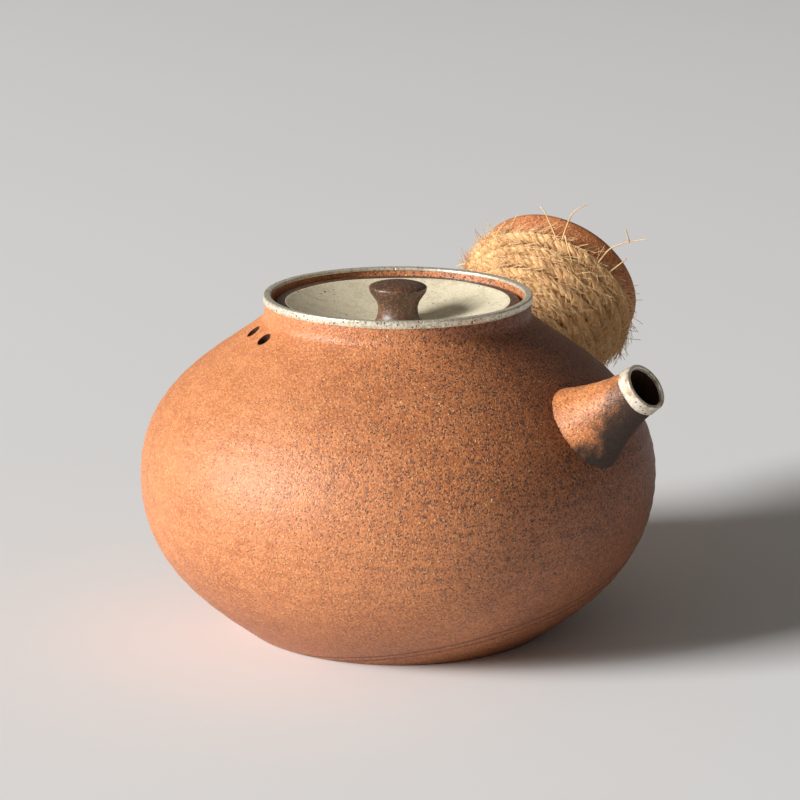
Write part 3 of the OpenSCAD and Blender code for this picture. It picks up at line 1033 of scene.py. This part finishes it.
def lid_outline(angle):
    """The lid's section, from the knob's pad to the flange and the middle underneath."""
    rows = 28
    under_rows = 20
    line = [(0.0, dish_z(KNOB_FOOT_R, GLAZE_T))]
    line += [(r, dish_z(r, GLAZE_T)) for r in even(KNOB_FOOT_R, DISH_R, rows)]
    line += [(DISH_R + 0.05, LID_TOP_Z - 0.05), (DISH_R + 0.35, LID_TOP_Z)]
    line += arc((LID_R - LID_EDGE, LID_TOP_Z - LID_EDGE), LID_EDGE, 90, 0, 6)
    line += arc((LID_R - LID_FOOT_EDGE, SEAT_Z + LID_FOOT_EDGE), LID_FOOT_EDGE, 0, -90, 4)
    line += [(FLANGE_R + 0.3, SEAT_Z), (FLANGE_R, SEAT_Z - 0.3)]
    line += arc((FLANGE_R - FLANGE_EDGE, FLANGE_Z + FLANGE_EDGE), FLANGE_EDGE, 0, -90, 5)
    line += arc((FLANGE_IN_R + FLANGE_EDGE, FLANGE_Z + FLANGE_EDGE), FLANGE_EDGE, -90, -180, 5)
    return line + [(r, dish_z(r, GLAZE_T + LID_T)) for r in even(FLANGE_IN_R, 0.0, under_rows)]


def dish_outline(angle):
    """The glaze in the dish, thin at its uneven edge and gathered round the knob."""
    edge = DISH_R - 0.1 + waves(angle, DISH_EDGE)
    inner = KNOB_FOOT_R - 0.6
    rows = 40
    radii = even(inner, edge - 0.1, rows)
    line = [(r, dish_z(r, 0.0) + POOL_DEPTH * exp(-(r - inner) / POOL_FADE)) for r in radii]
    line += [(edge, dish_z(edge, 0.03)), (edge + 0.05, dish_z(edge, 0.1))]
    line += [(r, dish_z(r, GLAZE_T)) for r in reversed(radii)]
    return line


def knob_outline(angle):
    """The turned knob: foot, waist, flared neck and domed crown."""
    foot_z = dish_z(KNOB_FOOT_R, GLAZE_T)
    foot = (
        (KNOB_FOOT_R, 0.0),
        ((KNOB_FOOT_R + KNOB_WAIST_R) / 2, KNOB_WAIST_H / 4),
        (KNOB_WAIST_R, KNOB_WAIST_H / 2),
        (KNOB_WAIST_R, KNOB_WAIST_H),
    )
    neck = (
        foot[3],
        (KNOB_WAIST_R, (KNOB_WAIST_H + KNOB_HEAD_H) / 2),
        (KNOB_HEAD_R, (KNOB_WAIST_H + 2 * KNOB_HEAD_H) / 3),
        (KNOB_HEAD_R, KNOB_HEAD_H),
    )
    foot_rows = 10
    neck_rows = 16
    crown_rows = 18
    crown = KNOB_H - KNOB_HEAD_H
    line = [curve(foot, t) for t in even(0.0, 1.0, foot_rows)]
    line += [curve(neck, t) for t in even(0.0, 1.0, neck_rows)[1:]]
    rises = even(0.0, pi / 2, crown_rows)[1:-1]
    line += [(KNOB_HEAD_R * cos(rise), KNOB_HEAD_H + crown * sin(rise)) for rise in rises]
    oval = 1 + waves(angle, KNOB_OVAL)
    side = [(r * oval + waves(h, KNOB_RINGS), foot_z + h) for r, h in line]
    return [(0.0, foot_z)] + side + [(0.0, foot_z + KNOB_H)]


# The winding

def geometry_tree(name, kinds):
    """An empty geometry tree with a geometry in and out and named inputs of each kind."""
    tree = bpy.data.node_groups.new(name, "GeometryNodeTree")
    tree.interface.new_socket(name="Geometry", in_out="INPUT", socket_type="NodeSocketGeometry")
    for kind, labels in kinds.items():
        for label in labels:
            tree.interface.new_socket(name=label, in_out="INPUT", socket_type="NodeSocket" + kind)
    tree.interface.new_socket(name="Geometry", in_out="OUTPUT", socket_type="NodeSocketGeometry")
    return tree, tree.nodes.new("NodeGroupInput").outputs


def pass_on(geometry, kind, values, **settings):
    """The geometry that a new geometry node makes of a geometry."""
    return add_node(kind, {0: geometry} | values, **settings).outputs[0]


def end_tree(geometry, material):
    """Ends a geometry tree: instances made real, then the material."""
    real = pass_on(geometry, "GeometryNodeRealizeInstances", {})
    painted = pass_on(real, "GeometryNodeSetMaterial", {"Material": material})
    add_node("NodeGroupOutput", {0: painted})


def field(tree, kind, output=0):
    """An input that a geometry tree reads at each place."""
    return tree.nodes.new(kind).outputs[output]


def section(tree, sides, radius):
    """A round section for a tube."""
    sockets = {"Resolution": sides, "Radius": radius}
    return add_node("GeometryNodeCurvePrimitiveCircle", sockets, tree).outputs[0]


def store(geometry, name, kind, value):
    """Keeps a value on the geometry under a name."""
    sockets = {"Name": name, "Value": value}
    return pass_on(geometry, "GeometryNodeStoreNamedAttribute", sockets, data_type=kind)


def make_twine_tree():
    """Three plies laid round a path, each with its run and its length stored on it."""
    tree, given = geometry_tree("lay_twine", {
        "Float": ("Ply Radius", "Ply Offset", "Twist Pitch", "Step", "Unevenness"),
        "Material": ("Material",),
    })
    steps = {"Length": given["Step"]}
    path = pass_on(given["Geometry"], "GeometryNodeResampleCurve", steps, mode="LENGTH")
    length = field(tree, "GeometryNodeSplineParameter", "Length")
    normal = field(tree, "GeometryNodeInputNormal")
    tangent = field(tree, "GeometryNodeInputTangent")
    across = vector_calc("CROSS_PRODUCT", tangent, normal)
    turns = calc("DIVIDE", length, given["Twist Pitch"])
    profile = {"Profile Curve": section(tree, PLY_SIDES, given["Ply Radius"]), "Fill Caps": True}
    lumps = add_node("ShaderNodeTexNoise", {"Scale": LUMP_CELLS}, tree)
    centred = vector_calc("SUBTRACT", lumps.outputs["Color"], MID_GREY)
    uneven = scaled(centred, given["Unevenness"])
    joined = tree.nodes.new("GeometryNodeJoinGeometry")
    for ply in range(PLIES):
        angle = calc("MULTIPLY_ADD", turns, 2 * pi, 2 * pi * ply / PLIES)
        one = scaled(normal, calc("COSINE", angle))
        other = scaled(across, calc("SINE", angle))
        aside = vector_calc("ADD", one, other)
        off = scaled(aside, given["Ply Offset"])
        moved = pass_on(path, "GeometryNodeSetPosition", {"Offset": off})
        shaken = pass_on(moved, "GeometryNodeSetPosition", {"Offset": uneven})
        shifted = calc("ADD", length, PLY_SHIFT * ply)
        measured = store(shaken, "along", "FLOAT", shifted)
        aimed = store(measured, "run", "FLOAT_VECTOR", tangent)
        skin = pass_on(aimed, "GeometryNodeCurveToMesh", profile)
        feed(joined, {0: skin})
    smooth = pass_on(joined.outputs[0], "GeometryNodeSetShadeSmooth", {})
    end_tree(smooth, given["Material"])
    return tree


def make_hair_tree():
    """Loose hairs on the twine's outside, lying along it and drooping back on to it."""
    tree, given = geometry_tree("raise_hairs", {
        "Float": (*HAIR_FLOATS, "Flare"),
        "Vector": ("Axis Point", "Axis Way"),
        "Int": ("Seed",),
        "Material": ("Material",),
    })
    axis = given["Axis Way"]
    place = field(tree, "GeometryNodeInputPosition")
    from_point = vector_calc("SUBTRACT", place, given["Axis Point"])
    radial = vector_calc("NORMALIZE", split(from_point, axis)[1])
    lean = scaled(axis, given["Flare"])
    outward = vector_calc("NORMALIZE", vector_calc("SUBTRACT", radial, lean))
    open_side = vector_calc("DOT_PRODUCT", field(tree, "GeometryNodeInputNormal"), outward)
    spread = {
        "Selection": calc("GREATER_THAN", open_side, given["Facing"]),
        "Density": given["Density"],
        "Seed": given["Seed"],
    }
    spots = pass_on(
        given["Geometry"], "GeometryNodeDistributePointsOnFaces", spread, distribute_method="RANDOM"
    )
    ends = {"Start": (0.0, 0.0, 0.0), "End": (0.0, 0.0, 1.0)}
    stem = add_node("GeometryNodeCurvePrimitiveLine", ends, tree).outputs[0]
    jointed = pass_on(stem, "GeometryNodeResampleCurve", {"Count": HAIR_JOINTS})
    share = field(tree, "GeometryNodeSplineParameter", "Factor")
    drooped = times(calc("POWER", share, 2.0), given["Droop"])
    sway = add_node("ShaderNodeCombineXYZ", {0: drooped}).outputs[0]
    bent = pass_on(jointed, "GeometryNodeSetPosition", {"Offset": sway})
    profile = {"Profile Curve": section(tree, HAIR_SIDES, HAIR_SLIM)}
    hair = pass_on(bent, "GeometryNodeCurveToMesh", profile)
    bounds = {0: (-1.0, -1.0, -1.0), 1: (1.0, 1.0, 1.0), "Seed": given["Seed"]}
    stray = add_node("FunctionNodeRandomValue", bounds, data_type="FLOAT_VECTOR").outputs[0]
    on_skin = split(scaled(stray, given["Stray"]), outward)[1]
    lifted = scaled(outward, given["Lift"])
    run = add_node("GeometryNodeInputNamedAttribute", {"Name": "run"}, tree, data_type="FLOAT_VECTOR")
    risen = vector_calc("ADD", run.outputs["Attribute"], lifted)
    way = {"Vector": vector_calc("ADD", risen, on_skin)}
    aim = add_node("FunctionNodeAlignRotationToVector", way, axis="Z")
    back = {"Rotation": aim.outputs[0], "Vector": scaled(outward, -1.0)}
    settle = add_node("FunctionNodeAlignRotationToVector", back, axis="X", pivot_axis="Z")
    lengths = {2: given["Short"], 3: given["Long"], "Seed": calc("ADD", given["Seed"], LENGTH_SEED)}
    planted = pass_on(spots, "GeometryNodeInstanceOnPoints", {
        "Instance": hair,
        "Rotation": settle.outputs[0],
        "Scale": add_node("FunctionNodeRandomValue", lengths, data_type="FLOAT").outputs[1],
    })
    end_tree(planted, given["Material"])
    return tree


def grow(name, source, tree, values):
    """Runs a geometry tree on an object and keeps the result as a plain mesh object."""
    step = source.modifiers.new(tree.name, "NODES")
    step.node_group = tree
    for item in tree.interface.items_tree:
        if item.item_type == "SOCKET" and item.in_out == "INPUT" and item.name in values:
            step[item.identifier] = values[item.name]
    mesh = made_mesh(source)
    mesh.name = name
    return put(name, mesh)


def wrap_path():
    """The twine's middle line: a helix on the flared handle, a little uneven, its ends tucked in."""
    turns = (WRAP_TO - WRAP_FROM) / WRAP_STEP
    steps = int(turns * TURN_STEPS)
    points = []
    for i in range(steps + 1):
        turn = turns * i / steps
        run = WRAP_FROM + WRAP_STEP * turn + waves(turn, TWINE_DRIFT)
        tuck = TUCK_DEPTH * max(0.0, 1 - min(turn, turns - turn) * TUCK_RATE)
        r = handle_r(run) + TWINE_GAP + TWINE_R - tuck + waves(turn, TWINE_SWELL)
        points.append(around(ON_HANDLE, r, WRAP_START + 2 * pi * turn, run) * MM)
    line = bpy.data.curves.new("twine_path", "CURVE")
    line.dimensions = "3D"
    spline = line.splines.new("POLY")
    spline.points.add(len(points) - 1)
    for spot, point in zip(spline.points, points):
        spot.co = (*point, 1.0)
    return put("twine_path", line)


# The twine's plies, its gap to the clay, how its ends tuck in, and the lumps along it
PLIES = 3
PLY_SIDES = 9
PLY_SHIFT = 0.37
TWIST_PITCH = 5.0
PLY_STEP = 0.42
PLY_UNEVEN = 0.9
TWINE_GAP = 0.1
TUCK_DEPTH = 0.9
TUCK_RATE = 9
TURN_STEPS = 72
LUMP_CELLS = 430.0

# Loose hairs: joints, sides and thickness for a length of one, the lean of the wound handle's side, what
# sets the draw of lengths apart, and each kind's name, seed and values
HAIR_JOINTS = 4
HAIR_SIDES = 3
HAIR_SLIM = 0.013
HAIR_FLARE = 0.25
LENGTH_SEED = 7.0
HAIR_FLOATS = ("Density", "Short", "Long", "Lift", "Stray", "Facing", "Droop")
HAIRS = (
    ("jute_laid_hairs", 11, (1700000.0, 1.6 * MM, 5.0 * MM, 0.05, 0.5, 0.3, 0.2)),
    ("jute_crossed_hairs", 23, (1300000.0, 1.6 * MM, 4.8 * MM, 0.08, 1.1, 0.8, 0.16)),
    ("jute_risen_hairs", 37, (20000.0, 0.6 * MM, 1.5 * MM, 0.6, 0.9, 0.7, 0.3)),
)

# Long stray hairs: turn round the handle in degrees, run along it, height over its clay
STRAYS = (
    ((199, 22, 2.5), (189, 24.5, 5), (185, 25.5, 5.5)),
    ((203, 22, 2.5), (203, 24.5, 6.5), (205, 25.5, 8), (208, 27, 8.5)),
    ((231, 22, 2.5), (230, 24, 5), (232, 25, 7), (234, 25.5, 9), (237, 26, 12)),
    ((234, 25.5, 8.5), (231, 25.5, 9.5), (228, 26, 10)),
    ((241, 22.5, 2.5), (241, 24.5, 4.5), (241, 25.5, 5)),
    ((129, 18.5, 2), (125, 18.5, 4), (119, 18.5, 5.5)),
    ((204, 22.5, 3.5), (210, 20, 3.5), (218, 18, 3)),
)
STRAY_R = 0.2
STRAY_TAPER = 0.6


def stray_line(points):
    """A tapered hair through a few points, rounded between them."""
    spots = [
        around(ON_HANDLE, handle_r(run) + height, radians(turn), run) for turn, run, height in points
    ]
    rows = 6
    line = []
    count = rows * (len(spots) - 1)
    for i in range(count + 1):
        at = i / rows
        k = min(int(at), len(spots) - 2)
        t = at - k
        before = spots[max(k - 1, 0)]
        after = spots[min(k + 2, len(spots) - 1)]
        run_a = (spots[k + 1] - before) / 2
        run_b = (after - spots[k]) / 2
        point = (
            (2 * t ** 3 - 3 * t ** 2 + 1) * spots[k]
            + (t ** 3 - 2 * t ** 2 + t) * run_a
            + (3 * t ** 2 - 2 * t ** 3) * spots[k + 1]
            + (t ** 3 - t ** 2) * run_b
        )
        line.append((point, STRAY_R * (1 - STRAY_TAPER * i / count)))
    return line


def make_winding():
    """The twine, its three kinds of loose hairs and the few long strays."""
    path = wrap_path()
    twine = grow("jute_winding", path, make_twine_tree(), {
        "Ply Radius": PLY_R * MM,
        "Ply Offset": PLY_OFF * MM,
        "Twist Pitch": TWIST_PITCH * MM,
        "Step": PLY_STEP * MM,
        "Unevenness": PLY_UNEVEN * MM,
        "Material": JUTE_TWINE,
    })
    hair_tree = make_hair_tree()
    shared = {
        "Axis Point": ON_HANDLE.translation * MM,
        "Axis Way": z_way(ON_HANDLE),
        "Flare": HAIR_FLARE,
        "Material": JUTE_HAIR,
    }
    hairs = []
    for name, seed, values in HAIRS:
        own = dict(zip(HAIR_FLOATS, values)) | {"Seed": seed}
        hairs.append(grow(name, twine, hair_tree, shared | own))
    mesh = tube_mesh("jute_strays", [stray_line(points) for points in STRAYS], sides=5)
    strays = plain_object("jute_strays", mesh, JUTE_HAIR)
    bpy.data.objects.remove(path)
    return twine, *hairs, strays


# The floor, the light and the camera

def make_floor():
    """A wide pale floor."""
    work = bmesh.new()
    bmesh.ops.create_grid(work, x_segments=2, y_segments=2, size=FLOOR_HALF)
    mesh = bpy.data.meshes.new("floor")
    work.to_mesh(mesh)
    work.free()
    return plain_object("floor", mesh, PAPER)


def toward_view(right, away, up):
    """A place given from the camera's side: to its right, away from it, and up, in metres."""
    c = cos(VIEW_TURN)
    s = sin(VIEW_TURN)
    return Vector((right * c - away * s, right * s + away * c, up))


def light_scene():
    """A large soft lamp in front on the left that faces the pot, and a pale world."""
    lamp = bpy.data.lights.new("left_softbox", "AREA")
    lamp.shape = "SQUARE"
    lamp.size = LAMP_SIZE
    lamp.energy = LAMP_POWER
    softbox = put("left_softbox", lamp)
    softbox.location = toward_view(*LAMP_PLACE)
    to_pot = Vector((0, 0, LAMP_AIM_Z)) - softbox.location
    softbox.rotation_euler = to_pot.to_track_quat("-Z", "Y").to_euler()
    world = bpy.data.worlds.new("pale_world")
    world.use_nodes = True
    back = world.node_tree.nodes["Background"]
    back.inputs["Color"].default_value = WORLD_COLOUR
    back.inputs["Strength"].default_value = WORLD_STRENGTH
    bpy.context.scene.world = world


def place_camera():
    """The camera at the photograph's angle and reach."""
    data = bpy.data.cameras.new("photo_camera")
    data.lens = VIEW_LENS
    data.sensor_width = VIEW_SENSOR
    data.clip_start = 0.02
    data.clip_end = 50.0
    made = put("photo_camera", data)
    made.location = toward_view(VIEW_SHIFT, -VIEW_REACH, VIEW_HEIGHT)
    made.rotation_euler = (pi / 2 - VIEW_PITCH, 0.0, VIEW_TURN)
    bpy.context.scene.camera = made


place_camera()
light_scene()
floor = make_floor()

body = make_body()
spout = lathe("luted_spout", spout_outline, SPOUT_CLAY, segments=96, place=ON_SPOUT, ring=True)
handle = lathe("luted_handle", handle_outline, HANDLE_CLAY, segments=128, place=ON_HANDLE, ring=True)
handle_seam = seam("handle_seam", ON_HANDLE, handle_r, SEAM_T)
mouth_band = lathe("mouth_silver", mouth_band_outline, PITTED_SILVER, segments=264, ring=True)
spout_band = lathe(
    "spout_silver", spout_band_outline, WORN_SILVER, segments=96, place=ON_SPOUT, ring=True
)
twine, laid_hairs, crossed_hairs, risen_hairs, strays = make_winding()
lid = lathe("dropped_lid", lid_outline, DARK_CLAY, segments=200)
dish = lathe("dish_silver", dish_outline, SATIN_SILVER, segments=200, ring=True)
knob = lathe("turned_knob", knob_outline, DARK_CLAY, segments=96)

STANDS_FOR = (
    (body, "pot", "pot_body", "clay"),
    (spout, "pot", "spout", "clay"),
    (handle, "pot", "handle", "clay"),
    (handle_seam, "pot", None, "clay"),
    (mouth_band, "pot", "mouth_glaze", "silver_glaze"),
    (spout_band, "pot", "spout_glaze", "silver_glaze"),
    (twine, "pot", "handle_wrap", "twine"),
    (laid_hairs, "pot", None, "twine"),
    (crossed_hairs, "pot", None, "twine"),
    (risen_hairs, "pot", None, "twine"),
    (strays, "pot", None, "twine"),
    (lid, "lid", "lid", "dark_clay"),
    (dish, "lid", "lid_glaze", "silver_glaze"),
    (knob, "lid", "lid_knob", "dark_clay"),
)
for piece, carrier, node, finish in STANDS_FOR:
    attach(piece, carrier)
    if node:
        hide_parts(node)

bpy.context.scene.view_settings.view_transform = "Standard"
